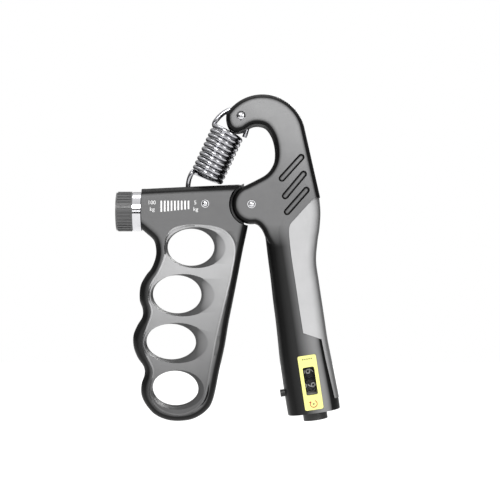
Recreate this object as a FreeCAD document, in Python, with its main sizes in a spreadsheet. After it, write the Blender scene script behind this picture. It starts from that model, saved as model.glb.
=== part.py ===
import FreeCAD, Part
import math
import os

# Finger exerciser: a palm handle with an arched head, a finger handle with four rings that
# swings on the head, an extension spring between them, a knob that moves the spring's
# anchor along a lead screw, and a squeeze counter in the palm handle's foot.
# X runs from the fingers to the palm, Z is up, Y is across the handles. Millimetres.

V = FreeCAD.Vector
DOC = FreeCAD.newDocument("FingerExerciser")

SIZES = [
    ("pivot_x", 11.75, "main pivot, x"),
    ("pivot_z", 109.2, "main pivot, z"),
    ("pivot_rad", 2.0, "main pivot pin radius"),
    ("pin_reach", 20.6, "length of the two cross pins"),
    ("eye_x", 6.55, "upper spring pin, x"),
    ("eye_z", 153.4, "upper spring pin, z"),
    ("eye_rad", 2.35, "upper spring pin radius"),
    ("anchor_x", -12.35, "lower spring pin, x"),
    ("anchor_z", 113.0, "lower spring pin, z"),
    ("anchor_rad", 2.0, "lower spring pin radius"),
    ("anchor_len", 9.4, "lower spring pin length"),
    ("head_half", 10.0, "half thickness of the arched head"),
    ("head_round", 1.5, "rounding of the head's edges"),
    ("hub_rad", 9.85, "radius of the clevis cheeks"),
    ("hub_gap", 1.1, "gap between cheek and beam end"),
    ("cheek_gap", 4.5, "half width of the clevis slot"),
    ("tongue_half", 4.0, "half thickness of the beam's tongue"),
    ("tongue_rad", 8.6, "radius of the tongue's eye"),
    ("bush_rad", 3.6, "pivot bush outer radius"),
    ("bush_bore", 2.05, "pivot bush bore radius"),
    ("bush_len", 8.0, "pivot bush length"),
    ("washer_rad", 6.5, "pivot washer radius"),
    ("washer_len", 0.4, "pivot washer thickness"),
    ("wall", 2.6, "wall of the hollow palm handle"),
    ("pad_depth", 1.3, "depth of the palm pad's seat"),
    ("pad_proud", 0.25, "height of the pad over the shell"),
    ("frame_half", 9.0, "half thickness of the finger handle"),
    ("grip_round", 2.2, "rounding of the finger handle's edges"),
    ("well_half", 5.0, "half width of the well for the slider"),
    ("screw_z", 105.7, "lead screw axis, z"),
    ("screw_rad", 2.5, "lead screw radius"),
    ("screw_bore", 2.56, "running bore on the lead screw"),
    ("screw_len", 53.0, "lead screw length"),
    ("slider_long", 14.0, "slider, along the screw"),
    ("slider_half", 4.9, "slider, half width"),
    ("slider_tall", 15.4, "slider, height"),
    ("knob_rad", 9.6, "resistance knob core radius"),
    ("knob_len", 8.5, "resistance knob length"),
    ("ring_rad", 9.85, "chrome ring radius"),
    ("ring_len", 4.1, "chrome ring length"),
    ("clip_rad", 4.6, "thrust clip radius"),
    ("clip_len", 1.2, "thrust clip thickness"),
    ("rivet_rad", 1.95, "beam rivet radius"),
    ("rivet_len", 4.2, "beam rivet length"),
    ("coil_rad", 8.65, "spring outer radius"),
    ("coil_bore", 6.15, "spring inner radius"),
    ("coil_half", 13.55, "length of each half of the coil"),
    ("wire_rad", 1.25, "spring wire radius"),
    ("hook_rad", 8.1, "radius of the spring's hooks"),
    ("axle_rad", 1.5, "counter shaft radius"),
    ("axle_bore", 1.57, "bore of what turns on the counter shaft"),
    ("axle_len", 31.0, "counter shaft length"),
    ("plate_rad", 7.2, "radius of the counter frame's end plates"),
    ("wheel_rad", 6.8, "number wheel radius"),
    ("wheel_len", 6.4, "number wheel width"),
    ("ratchet_rad", 5.6, "ratchet wheel radius"),
    ("ratchet_len", 2.4, "ratchet wheel width"),
    ("frame_plate", 1.4, "thickness of the counter frame's end plates"),
    ("reset_rad", 6.1, "reset knob radius"),
    ("reset_len", 3.6, "reset knob length"),
    ("plunger_rad", 1.85, "counter plunger radius"),
    ("plunger_len", 6.4, "counter plunger length"),
    ("flange_rad", 2.4, "counter plunger flange radius"),
    ("flange_len", 0.8, "counter plunger flange thickness"),
    ("fix_rad", 1.3, "case screw shank radius"),
    ("fix_len", 13.0, "case screw shank length"),
    ("fix_head", 2.7, "case screw head radius"),
    ("fix_head_len", 1.8, "case screw head height"),
    ("fix_boss", 4.2, "case screw boss radius"),
]

SHEET = DOC.addObject("Spreadsheet::Sheet", "Sizes")
for row, (alias, value, note) in enumerate(SIZES, 1):
    SHEET.set("A%d" % row, note)
    SHEET.set("B%d" % row, "%g" % value)
    SHEET.setAlias("B%d" % row, alias)
DOC.recompute()

NODES = []


def size(alias):
    return float(SHEET.get(alias))


def keep(obj, label):
    obj.Label = label
    NODES.append(obj)
    return obj


def placed(point, direction):
    return FreeCAD.Placement(point, FreeCAD.Rotation(V(0, 0, 1), direction))


# ---- document objects whose sizes are bound to the sheet ----

def cylinder(name, radius, length, point, direction):
    obj = DOC.addObject("Part::Cylinder", name)
    obj.setExpression("Radius", "Sizes." + radius)
    obj.setExpression("Height", "Sizes." + length)
    obj.Placement = placed(point, direction)
    return obj


def box(name, lengths, point):
    obj = DOC.addObject("Part::Box", name)
    obj.setExpression("Length", lengths[0])
    obj.setExpression("Width", lengths[1])
    obj.setExpression("Height", lengths[2])
    obj.Placement = FreeCAD.Placement(point, FreeCAD.Rotation())
    return obj


def cut(name, base, tool):
    obj = DOC.addObject("Part::Cut", name)
    obj.Base = base
    obj.Tool = tool
    return obj


def fuse(name, pieces):
    obj = DOC.addObject("Part::MultiFuse", name)
    obj.Shapes = pieces
    return obj


def feature(name, shape):
    obj = DOC.addObject("Part::Feature", name)
    obj.Shape = shape
    obj.Placement = FreeCAD.Placement()
    return obj


# ---- plain shapes, for the pieces with free-form outlines ----

PIVOT = V(size("pivot_x"), 0, size("pivot_z"))
EYE = V(size("eye_x"), 0, size("eye_z"))
ANCHOR = V(size("anchor_x"), 0, size("anchor_z"))
ACROSS = V(0, 1, 0)
FOOT = V(43.6, -3.2, 4.9)
TILT = math.radians(8.5)
AXIS = (ANCHOR - EYE).normalize()
COIL_TOP = V(-0.1, 0, 146.7)
DOWN = V(math.sin(TILT), 0, -math.cos(TILT))
INWARD = V(math.cos(TILT), 0, math.sin(TILT))


def at(x, z):
    return V(x, 0, z)


def line(a, b):
    return Part.makeLine(a, b)


def arc(a, b, c):
    return Part.Arc(a, b, c).toShape()


def spline(points, closed=False):
    curve = Part.BSplineCurve()
    curve.interpolate(Points=points, PeriodicFlag=closed)
    return curve.toShape()


def slab(edges, low, high):
    """A flat outline in XZ made solid from Y = low to Y = high."""
    wire = Part.Wire(edges)
    wire.translate(V(0, low, 0))
    return Part.Face(wire).extrude(V(0, high - low, 0))


def rod(centre, radius, low, high):
    return Part.makeCylinder(radius, high - low, V(centre.x, low, centre.z), ACROSS)


def quad(points, low, high):
    ends = points[1:] + points[:1]
    return slab([line(a, b) for a, b in zip(points, ends)], low, high)


def around_pivot(radius, degrees):
    angle = math.radians(degrees)
    return PIVOT + V(radius * math.cos(angle), 0, radius * math.sin(angle))


# ---- palm handle: head outline, barrel, and what is cut out of them ----

BARREL = [
    (118, 35.4, 19.5, 9.6), (106, 33.4, 26.0, 10.1), (97, 32.1, 27.6, 10.5), (91, 32.0, 26.0, 10.6),
    (81, 32.2, 24.0, 10.8), (71, 33.5, 24.0, 11.0), (61, 34.8, 24.4, 11.3), (51, 36.2, 24.6, 11.7),
    (41, 37.5, 25.0, 12.1), (31, 39.0, 26.0, 12.5), (21, 40.7, 26.6, 12.8), (11, 42.4, 27.0, 13.0),
    (1, 43.9, 26.6, 13.0),
]
BARREL_POINTS = 24
BARREL_POWER = 2.9


def section(z, centre, width, half, grow):
    """One rounded-square section of the barrel, grown or shrunk all round."""
    points = []
    for i in range(BARREL_POINTS):
        angle = 2 * math.pi * i / BARREL_POINTS
        c, s = math.cos(angle), math.sin(angle)
        x = math.copysign(abs(c) ** (2 / BARREL_POWER), c) * (width / 2 + grow)
        y = math.copysign(abs(s) ** (2 / BARREL_POWER), s) * (half + grow)
        points.append(V(centre + x, y, z))
    return Part.Wire([spline(points, True)])


def barrel(grow):
    wires = [section(z, c, w, h, grow) for z, c, w, h in BARREL]
    return Part.makeLoft(wires, True, False)


def below_foot():
    """Everything past the tilted plane that ends the palm handle."""
    block = Part.makeBox(80, 80, 40, V(-40, -40, 0))
    block.Placement = placed(V(FOOT.x, 0, FOOT.z), DOWN)
    return block


def head_solid():
    half = size("head_half")
    hub = size("hub_rad")
    top = around_pivot(hub, 108)
    bottom = around_pivot(hub, 280)
    edges = [
        arc(top, around_pivot(hub, 194), bottom),
        spline([bottom, at(15.2, 98.6), at(17.0, 96.5)]),
        line(at(17.0, 96.5), at(19.4, 92)),
        line(at(19.4, 92), at(44.8, 92)),
        spline([at(44.8, 92), at(46.2, 98), at(46.5, 106), at(46.15, 113.15)]),
        line(at(46.15, 113.15), at(38.4, 147.5)),
        arc(at(38.4, 147.5), at(20.0, 164.27), at(-1.2, 154.2)),
        spline([at(-1.2, 154.2), at(-0.9, 150.6), at(0.7, 147.2), at(3.6, 145.5), at(7.5, 145.4)]),
        spline([at(7.5, 145.4), at(11, 147.4), at(14.5, 148.2), at(19, 147.1), at(22.3, 143.2),
                at(24.3, 138), at(24.4, 132.5), at(22.9, 128), at(19.5, 124.2), at(14, 121.2), top]),
    ]
    return slab(edges, -half, half)


def rounded_head():
    head = head_solid()
    half = size("head_half")
    rim = [e for e in head.Edges if abs(abs(e.CenterOfMass.y) - half) < 1e-6]
    rim = [e for e in rim if e.CenterOfMass.z > 93]
    return head.makeFillet(size("head_round"), rim)


def grooves():
    """Three slanting rounded grooves in each face of the head."""
    ends = [((27.0, 122.0), (36.6, 132.6)), ((28.6, 113.2), (37.8, 124.2)), ((29.6, 105.3), (39.2, 116.2))]
    cuts = []
    for (x1, z1), (x2, z2) in ends:
        a, b = at(x1, z1), at(x2, z2)
        along = (b - a).normalize()
        side = V(-along.z, 0, along.x) * 1.5
        outline = [line(a + side, b + side), arc(b + side, b + along * 1.5, b - side),
                   line(b - side, a - side), arc(a - side, a - along * 1.5, a + side)]
        cuts.append(slab(outline, -20, -9.2))
        cuts.append(slab(outline, 9.2, 20))
    return cuts


def pad_prism(inset):
    """The palm pad's area seen from the side, made deep enough to pass through the handle."""
    left = spline([at(31.0 + inset, 99.2), at(30.3 + inset, 95), at(31.6 + inset, 82.6), at(33.5 + inset, 70.2),
                   at(35.6 + inset, 56), at(37.4 + inset, 44.8)])
    low = spline([at(48.65 + inset, 31.6), at(51.1 + inset, 21.2), at(53.2 + inset, 12.2)])
    edges = [
        line(at(60, 112.5), at(43.0 + inset, 112.5)), line(at(43.0 + inset, 112.5), at(31.0 + inset, 99.2)), left,
        line(at(37.4 + inset, 44.8), at(46.6 + inset, 41.6)), line(at(46.6 + inset, 41.6), at(48.65 + inset, 31.6)),
        low, line(at(53.2 + inset, 12.2), at(60, 12.2)), line(at(60, 12.2), at(60, 112.5)),
    ]
    return slab(edges, -25, 25)


def counter_prism(half_wide, top, low, near, far):
    """A slanted rectangle over the counter, top and low being distances along the counter's axis."""
    centre = V(41.2, 0, 19.6)
    corners = [centre + INWARD * a + DOWN * b
               for a, b in ((-half_wide, top), (half_wide, top), (half_wide, low), (-half_wide, low))]
    solid = quad(corners, near, far)
    rim = [e for e in solid.Edges if abs(e.Vertexes[0].Y - e.Vertexes[1].Y) > 1]
    return solid.makeFillet(0.9, rim)


FIXES = [(31.5, 141.0), (26.5, 87.0), (31.2, 42.0)]


def palm_handle():
    """The palm handle before it is split: returns the whole case."""
    depth = size("pad_depth")
    outer = barrel(0)
    seat = barrel(-depth)
    case = rounded_head().fuse(outer).cut(below_foot())
    hollow = barrel(-size("wall")).common(Part.makeBox(60, 40, 82.0, V(10, -20, 8.6)))
    case = case.cut(hollow)
    bosses = [rod(at(x, z), size("fix_boss"), -11.5, 11.5).common(outer) for x, z in FIXES[1:]]
    case = case.fuse(bosses)
    tools = [pad_prism(0).cut(seat), counter_prism(4.6, -14.2, 13.0, -20, 0).cut(barrel(-0.8))]
    tools.append(counter_prism(2.9, -8.4, 5.6, -20, -5))
    tools += grooves()
    tools.append(rod(PIVOT, size("hub_rad") + 0.6, -size("cheek_gap"), size("cheek_gap")))
    tools.append(rod(PIVOT, size("pivot_rad"), -20, 20))
    tools.append(rod(EYE, size("eye_rad"), -20, 20))
    tools.append(rod(at(4.64, 149.3), 10.8, -1.75, 1.75))
    tools.append(Part.makeCylinder(size("coil_rad") + 0.5, 5, COIL_TOP - AXIS * 0.5, AXIS))
    tools.append(Part.makeCylinder(size("plate_rad"), 22.4, FOOT - DOWN * 27.4, DOWN))
    tools.append(Part.makeCylinder(size("axle_bore"), 12, FOOT - DOWN * 6, DOWN))
    tools.append(Part.makeCylinder(size("plunger_rad") + 0.06, 12, V(26.3, -3.4, 13.9) - INWARD * 3, INWARD))
    for x, z in FIXES:
        tools.append(rod(at(x, z), size("fix_rad"), -6.0, 7.0))
        tools.append(rod(at(x, z), size("fix_head"), 7.0, 20))
    return case.cut(tools)


CASE = palm_handle()
keep(feature("PalmShellFront", CASE.common(Part.makeBox(120, 30, 200, V(-20, -30, -10)))), "palm_shell_front")
keep(feature("PalmShellBack", CASE.common(Part.makeBox(120, 30, 200, V(-20, 0, -10)))), "palm_shell_back")
PAD_LAYER = barrel(size("pad_proud")).cut(barrel(-size("pad_depth")))
PAD = PAD_LAYER.common(pad_prism(0.15)).cut(below_foot())
keep(feature("PalmPad", PAD), "palm_pad")

FRONT_LAYER = barrel(0.45).cut(barrel(-0.8))
BEZEL = FRONT_LAYER.common(counter_prism(4.6, -14.2, 13.0, -20, -5)).cut(counter_prism(2.9, -8.4, 5.6, -20, 0))
keep(feature("CounterBezel", BEZEL), "counter_bezel")
GLASS = barrel(0.2).cut(barrel(-1.3)).common(counter_prism(2.9, -8.4, 5.6, -20, -5))
keep(feature("CounterWindow", GLASS), "counter_window")

for number, (x, z) in enumerate(FIXES, 1):
    shank = cylinder("FixShank%d" % number, "fix_rad", "fix_len", V(x, -6.0, z), ACROSS)
    top = cylinder("FixHead%d" % number, "fix_head", "fix_head_len", V(x, 7.0, z), ACROSS)
    keep(fuse("Fix%d" % number, [shank, top]), "case_screw_%d" % number)

HALF_REACH = size("pin_reach") / 2
keep(cylinder("MainPin", "pivot_rad", "pin_reach", PIVOT - ACROSS * HALF_REACH, ACROSS), "main_pivot_pin")
keep(cylinder("EyePin", "eye_rad", "pin_reach", EYE - ACROSS * HALF_REACH, ACROSS), "upper_spring_pin")
for side, label in ((-1, "front"), (1, "back")):
    start = PIVOT + ACROSS * (size("tongue_half") + 0.05 if side > 0 else -size("cheek_gap") + 0.05)
    disc = cylinder("WasherDisc_" + label, "washer_rad", "washer_len", start, ACROSS)
    bore = cylinder("WasherBore_" + label, "bush_bore", "washer_len", start, ACROSS)
    keep(cut("Washer_" + label, disc, bore), "pivot_washer_" + label)


# ---- finger handle ----

LEFT_EDGE = [
    (-43.5, 96.6), (-41.2, 94.6), (-37.6, 91.2), (-36.4, 87), (-36.6, 82.5), (-38.6, 77.2), (-41.6, 73.2),
    (-44.2, 68), (-44.6, 61.2), (-43.1, 56.4), (-43.3, 52.4), (-45.8, 48.2), (-47.8, 43), (-47.6, 37.2),
    (-45.6, 32), (-42.6, 27.4), (-42.2, 23.4), (-43.7, 18.6), (-43.7, 13.2), (-41.4, 8.2), (-37, 3.4),
    (-31, 0.7), (-24.5, 0),
]
RIGHT_EDGE = [(-24.5, 0), (-17.5, 1.2), (-11.2, 5.1), (-7.6, 11), (-4.6, 25), (-1.9, 37.2), (0.1, 49.2),
              (2.5, 61.2), (5.0, 74), (7.3, 86)]
RINGS = [(-19.0, 87.6, 12.0, 9.4), (-26.0, 63.7, 12.5, 9.75), (-29.0, 39.7, 12.75, 9.25), (-26.8, 16.2, 11.75, 9.1)]
RECESS = [
    (-26.5, 98.3), (-12, 98.6), (-1.5, 96), (3.6, 88), (1.9, 74), (-1.4, 60), (-5.2, 44), (-8.6, 26), (-11.6, 11.5),
    (-18, 5), (-26, 3.2), (-34.5, 6), (-39.4, 13), (-38.9, 20), (-37.9, 26), (-41.0, 33), (-43.2, 40), (-40.8, 48),
    (-38.6, 55), (-40.0, 62), (-39.0, 69), (-34.8, 76), (-32.4, 84), (-32.6, 92.5),
]


def frame_blank():
    gap = size("hub_rad") + size("hub_gap")
    top = around_pivot(gap, 114.3)
    low = around_pivot(gap, 260.5)
    edges = [
        line(at(-43.5, 96.6), at(-43.5, 117.0)), spline([at(-43.5, 117.0), at(-19, 118.2), top]),
        arc(top, around_pivot(gap, 188), low),
        spline([low] + [at(x, z) for x, z in reversed(RIGHT_EDGE)]),
        spline([at(x, z) for x, z in reversed(LEFT_EDGE)]),
    ]
    half = size("frame_half")
    blank = slab(edges, -half, half)
    rim = [e for e in blank.Edges if abs(abs(e.CenterOfMass.y) - half) < 1e-6]
    low_rim = [e for e in rim if e.CenterOfMass.z < 90]
    return blank.makeFillet(size("grip_round"), low_rim)


def finger_frame():
    """The finger handle: a plate with four rings and a hollow beam on top of it."""
    blank = frame_blank()
    half = size("frame_half")
    tools = []
    for x, z, wide, tall in RINGS:
        tools.append(ring_hole(x, z, wide, tall, -1))
        tools.append(ring_hole(x, z, wide, tall, 1))
    recess = [spline([at(x, z) for x, z in RECESS], True)]
    tools.append(slab(recess, -20, -(half - 1.1)))
    tools.append(slab(recess, half - 1.1, 20))
    well = size("well_half")
    tools.append(Part.makeBox(40, 2 * well, 30, V(-41.5, -well, 99.6)))
    screw = at(-60, size("screw_z"))
    along = V(1, 0, 0)
    tools.append(Part.makeCylinder(size("screw_bore"), 61.0, screw, along))
    tools.append(rod(at(-11.5, 109.45), size("rivet_rad"), -20, 20))
    frame = blank.cut(tools)
    tongue = rod(PIVOT, size("tongue_rad"), -size("tongue_half"), size("tongue_half"))
    neck = Part.makeBox(12.6, 2 * size("tongue_half"), 13, V(-0.85, -size("tongue_half"), PIVOT.z - 6.5))
    return frame.fuse([tongue, neck]).cut(rod(PIVOT, size("bush_rad"), -20, 20)).removeSplitter()


def ring_hole(x, z, wide, tall, side):
    """Half of a finger hole: it opens out towards the palm as it nears the face."""
    half = size("frame_half")
    inner = Part.Ellipse(V(0, 0, 0), wide, tall).toShape()
    outer = Part.Ellipse(V(0, 0, 0), wide + 3.4, tall + 0.8).toShape()
    turn = FreeCAD.Rotation(V(1, 0, 0), 90)
    inner.Placement = FreeCAD.Placement(V(x, 0, z), turn)
    outer.Placement = FreeCAD.Placement(V(x + 2.9, side * (half + 0.01), z - 0.3), turn)
    return Part.makeLoft([Part.Wire([inner]), Part.Wire([outer])], True, True)


keep(feature("FingerFrame", finger_frame()), "finger_frame")
ALONG = V(1, 0, 0)
SCREW = V(0, 0, size("screw_z"))

for side, label in ((-1, "front"), (1, "back")):
    start = V(-11.5, -9.2 if side < 0 else 5.0, 109.45)
    keep(cylinder("Rivet_" + label, "rivet_rad", "rivet_len", start, ACROSS), "beam_rivet_" + label)

BUSH_START = PIVOT - ACROSS * (size("bush_len") / 2)
BUSH = cylinder("BushBody", "bush_rad", "bush_len", BUSH_START, ACROSS)
BUSH_BORE = cylinder("BushBore", "bush_bore", "bush_len", BUSH_START, ACROSS)
keep(cut("Bush", BUSH, BUSH_BORE), "pivot_bush")


# ---- adjuster: knob, ring, lead screw, clip, slider and the spring's lower pin ----

KNOB_END = SCREW + ALONG * -56.5
CORE = cylinder("KnobCore", "knob_rad", "knob_len", KNOB_END, ALONG)
RIBS = []
for i in range(36):
    angle = math.radians(10 * i)
    rib = DOC.addObject("Part::Box", "KnobRib%02d" % i)
    rib.setExpression("Length", "Sizes.knob_len - 1.6")
    rib.Width = 0.9
    rib.Height = 0.7
    centre = V(-55.7, math.cos(angle) * size("knob_rad"), math.sin(angle) * size("knob_rad") + SCREW.z)
    turn = FreeCAD.Rotation(V(1, 0, 0), math.degrees(angle))
    rib.Placement = FreeCAD.Placement(centre + turn.multVec(V(0, -0.45, -0.35)), turn)
    RIBS.append(rib)
KNURLED = fuse("KnobKnurled", [CORE] + RIBS)
KNOB_BORE = cylinder("KnobBore", "screw_rad", "knob_len", SCREW + ALONG * -54.0, ALONG)
keep(cut("Knob", KNURLED, KNOB_BORE), "resistance_knob")

RING = cylinder("RingBody", "ring_rad", "ring_len", SCREW + ALONG * -48.0, ALONG)
RING_BORE = cylinder("RingBore", "screw_rad", "ring_len", SCREW + ALONG * -48.0, ALONG)
keep(cut("Ring", RING, RING_BORE), "knob_ring")

keep(cylinder("LeadScrew", "screw_rad", "screw_len", SCREW + ALONG * -54.0, ALONG), "lead_screw")

CLIP = cylinder("ClipBody", "clip_rad", "clip_len", SCREW + ALONG * -41.4, ALONG)
CLIP_BORE = cylinder("ClipBore", "screw_rad", "clip_len", SCREW + ALONG * -41.4, ALONG)
keep(cut("Clip", CLIP, CLIP_BORE), "thrust_clip")

BLOCK = box("SliderBlock", ("Sizes.slider_long", "Sizes.slider_half * 2", "Sizes.slider_tall"),
            V(ANCHOR.x - size("slider_long") / 2, -size("slider_half"), 100.4))
THREAD = cylinder("SliderThread", "screw_bore", "slider_long",
                  V(ANCHOR.x - size("slider_long") / 2, 0, SCREW.z), ALONG)
NOTCH = box("SliderNotch", ("Sizes.slider_long", "Sizes.wire_rad * 2 + 0.8", "Sizes.slider_tall"),
            V(ANCHOR.x - size("slider_long") / 2, -size("wire_rad") - 0.4, 108.2))
SEAT = cylinder("SliderSeat", "anchor_rad", "anchor_len", ANCHOR - ACROSS * (size("anchor_len") / 2), ACROSS)
keep(cut("Slider", BLOCK, fuse("SliderCuts", [THREAD, NOTCH, SEAT])), "slider")
keep(cylinder("AnchorPin", "anchor_rad", "anchor_len", ANCHOR - ACROSS * (size("anchor_len") / 2), ACROSS),
     "anchor_pin")


# ---- spring: each half is a coil and the hook at its end ----



def hook(centre, radius, first, last):
    """Part of a round hook of spring wire in the XZ plane, between two angles in degrees."""
    start, stop = math.radians(first), math.radians(last)
    path = Part.Arc(*[centre + V(radius * math.cos(a), 0, radius * math.sin(a))
                      for a in (start, (start + stop) / 2, stop)]).toShape()
    begin = path.valueAt(path.FirstParameter)
    ring = Part.Wire([Part.Circle(begin, path.tangentAt(path.FirstParameter), size("wire_rad")).toShape()])
    return Part.Wire([path]).makePipeShell([ring], True, True)


def leg(a, b):
    return Part.makeCylinder(size("wire_rad"), (b - a).Length, a, b - a)


def tube(start, length):
    outer = Part.makeCylinder(size("coil_rad"), length, start, AXIS)
    return outer.cut(Part.makeCylinder(size("coil_bore"), length, start, AXIS))


HALF = size("coil_half")
BACK_HOOK = hook(at(5.6, 143.94), 14.16, 90, 152.9)
EYE_HOOK = hook(at(5.6, 153.0), 5.1, -15, 90)
TOP = tube(COIL_TOP, HALF).fuse([BACK_HOOK, EYE_HOOK, leg(at(10.53, 151.68), at(7.3, 142.4))])
keep(feature("SpringTop", TOP), "spring_top")
LOWER = at(ANCHOR.x, 117.85)
LOW_HOOK = hook(LOWER, size("hook_rad"), 180, 360)
LEGS = [leg(at(-20.45, 117.85), at(-18.0, 125.8)), leg(at(-4.25, 117.85), at(-4.6, 122.0))]
BOTTOM = tube(COIL_TOP + AXIS * HALF, HALF).fuse([LOW_HOOK] + LEGS)
keep(feature("SpringBottom", BOTTOM), "spring_bottom")


# ---- counter: shaft and reset knob, two number wheels, ratchet wheel and plunger ----

def on_counter(distance):
    """A point on the counter's axis, this far above the foot of the handle."""
    return FOOT - DOWN * distance


def wheel(name, radius, length, distance):
    body = cylinder(name + "Body", radius, length, on_counter(distance), DOWN)
    bore = cylinder(name + "Bore", "axle_bore", length, on_counter(distance), DOWN)
    return cut(name, body, bore)


SHAFT = cylinder("Shaft", "axle_rad", "axle_len", on_counter(30.4), DOWN)
keep(SHAFT, "counter_shaft")
RESET = cylinder("ResetBody", "reset_rad", "reset_len", on_counter(-0.4), DOWN)
RESET_BORE = cylinder("ResetBore", "axle_rad", "reset_len", on_counter(2.6), DOWN)
keep(cut("Reset", RESET, RESET_BORE), "reset_knob")
keep(wheel("Units", "wheel_rad", "wheel_len", 17.2), "units_wheel")
keep(wheel("Tens", "wheel_rad", "wheel_len", 24.2), "tens_wheel")
RATCHET = wheel("Ratchet", "ratchet_rad", "ratchet_len", 10.8)
keep(RATCHET, "ratchet_wheel")

PLATE_TOP = wheel("FrameTop", "plate_rad", "frame_plate", 26.4)
PLATE_LOW = wheel("FrameLow", "plate_rad", "frame_plate", 7.4)
SPINE = box("FrameSpine", ("6", "2.2", "20.4"), V())
SPINE.Placement = FreeCAD.Placement(on_counter(6.0), FreeCAD.Rotation(ACROSS, 8.5 * -1)).multiply(
    FreeCAD.Placement(V(-3, 7.0, 0), FreeCAD.Rotation()))
LIP_TOP = box("FrameLipTop", ("6", "3.4", "Sizes.frame_plate"), V())
LIP_TOP.Placement = SPINE.Placement.multiply(FreeCAD.Placement(V(0, -2.8, 19.0), FreeCAD.Rotation()))
LIP_LOW = box("FrameLipLow", ("6", "3.4", "Sizes.frame_plate"), V())
LIP_LOW.Placement = SPINE.Placement.multiply(FreeCAD.Placement(V(0, -2.8, 0), FreeCAD.Rotation()))
keep(fuse("CounterFrame", [PLATE_TOP, PLATE_LOW, SPINE, LIP_TOP, LIP_LOW]), "counter_frame")

PLUNGER_AT = V(26.3, -3.4, 13.9)
ROD = cylinder("PlungerRod", "plunger_rad", "plunger_len", PLUNGER_AT, INWARD)
FLANGE = cylinder("PlungerFlange", "flange_rad", "flange_len", PLUNGER_AT + INWARD * 5.6, INWARD)
keep(fuse("Plunger", [ROD, FLANGE]), "counter_plunger")

DOC.recompute()
os.makedirs("parts", exist_ok=True)
for obj in DOC.Objects:
    if "Invalid" in obj.State or "Error" in obj.State:
        raise RuntimeError("%s did not compute: %s" % (obj.Label, obj.State))
for node in NODES:
    shape = node.Shape
    if shape.isNull() or not shape.isValid() or not shape.Solids:
        raise RuntimeError("%s has no valid solid" % node.Label)
for node in NODES:
    node.Shape.exportStep("parts/%s.step" % node.Label)
    print(node.Label, round(node.Shape.Volume, 1), len(node.Shape.Solids))
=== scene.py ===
import math

import bmesh
import bpy
from mathutils import Matrix, Vector
from mathutils.bvhtree import BVHTree


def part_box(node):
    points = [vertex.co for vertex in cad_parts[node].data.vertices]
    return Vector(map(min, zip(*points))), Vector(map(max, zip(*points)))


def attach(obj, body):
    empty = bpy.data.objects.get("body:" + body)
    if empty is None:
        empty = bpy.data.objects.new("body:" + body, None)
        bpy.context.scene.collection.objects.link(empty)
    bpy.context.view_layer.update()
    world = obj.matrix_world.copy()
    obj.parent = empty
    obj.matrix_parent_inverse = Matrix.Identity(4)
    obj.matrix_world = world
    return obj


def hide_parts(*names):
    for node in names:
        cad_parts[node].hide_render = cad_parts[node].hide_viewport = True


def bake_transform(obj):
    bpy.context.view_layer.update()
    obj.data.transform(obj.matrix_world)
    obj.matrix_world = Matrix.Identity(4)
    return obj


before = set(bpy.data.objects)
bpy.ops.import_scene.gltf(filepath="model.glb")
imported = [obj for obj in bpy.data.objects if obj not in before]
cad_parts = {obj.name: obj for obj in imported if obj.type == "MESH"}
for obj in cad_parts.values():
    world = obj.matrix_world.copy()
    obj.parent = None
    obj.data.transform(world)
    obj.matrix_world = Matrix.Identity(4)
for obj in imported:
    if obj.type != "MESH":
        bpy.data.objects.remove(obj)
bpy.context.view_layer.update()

# Shapes are measured in millimetres, and MM turns them into metres. Materials, lights and the camera
# are in metres.
# DOWN runs along the leaning palm handle's foot, and INWARD across it, towards the pad.
MM = 0.001
TILT = math.radians(8.5)
DOWN = Vector((math.sin(TILT), 0, -math.cos(TILT)))
INWARD = Vector((math.cos(TILT), 0, math.sin(TILT)))
BEAM_FACE = -9.0 * MM
PAPER_GAP = 0.06 * MM


# ---- materials ----

class Nodes:
    """A short way to add linked shader nodes to one material."""

    def __init__(self, name):
        self.material = bpy.data.materials.new(name)
        self.material.use_nodes = True
        self.tree = self.material.node_tree
        self.shader = self.tree.nodes["Principled BSDF"]

    def add(self, kind, **inputs):
        node = self.tree.nodes.new(kind)
        for key, value in inputs.items():
            node.inputs[key.replace("_", " ")].default_value = value
        return node

    def link(self, source, target):
        self.tree.links.new(source, target)

    def place(self):
        """Object coordinates, which on these pieces are metres in the part's own frame."""
        return self.add("ShaderNodeTexCoord").outputs["Object"]

    def noise(self, scale, detail=3.0, rough=0.55):
        node = self.add("ShaderNodeTexNoise", Scale=scale, Detail=detail, Roughness=rough)
        self.link(self.place(), node.inputs["Vector"])
        return node.outputs["Fac"]

    def ramp(self, value, low, high, at_low=0.0, at_high=1.0):
        node = self.add("ShaderNodeMapRange")
        node.inputs["From Min"].default_value = low
        node.inputs["From Max"].default_value = high
        node.inputs["To Min"].default_value = at_low
        node.inputs["To Max"].default_value = at_high
        self.link(value, node.inputs["Value"])
        return node.outputs["Result"]

    def mix(self, factor, a, b):
        """Blends two colours; sockets 6, 7 and 2 are the node's colour inputs and its colour result."""
        node = self.add("ShaderNodeMix")
        node.data_type = "RGBA"
        self.link(factor, node.inputs["Factor"])
        for socket, value in ((node.inputs[6], a), (node.inputs[7], b)):
            if isinstance(value, tuple):
                socket.default_value = value
            else:
                self.link(value, socket)
        return node.outputs[2]

    def bump(self, height, strength, distance):
        node = self.add("ShaderNodeBump", Strength=strength, Distance=distance)
        self.link(height, node.inputs["Height"])
        self.link(node.outputs["Normal"], self.shader.inputs["Normal"])


PLASTIC_SPECULAR = 0.20


def grey(level):
    return (level, level, level * 1.01, 1.0)


def sides_factor(n, low, high):
    """0 on rounded edges and walls, 1 on the flat faces across Y: the mask for painted shade where surfaces
    turn away from the front.
    """
    facing = n.add("ShaderNodeTexCoord")
    split = n.add("ShaderNodeSeparateXYZ")
    n.link(facing.outputs["Normal"], split.inputs["Vector"])
    size = n.add("ShaderNodeMath")
    size.operation = "ABSOLUTE"
    n.link(split.outputs["Y"], size.inputs[0])
    return n.ramp(size.outputs[0], low, high)


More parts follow.
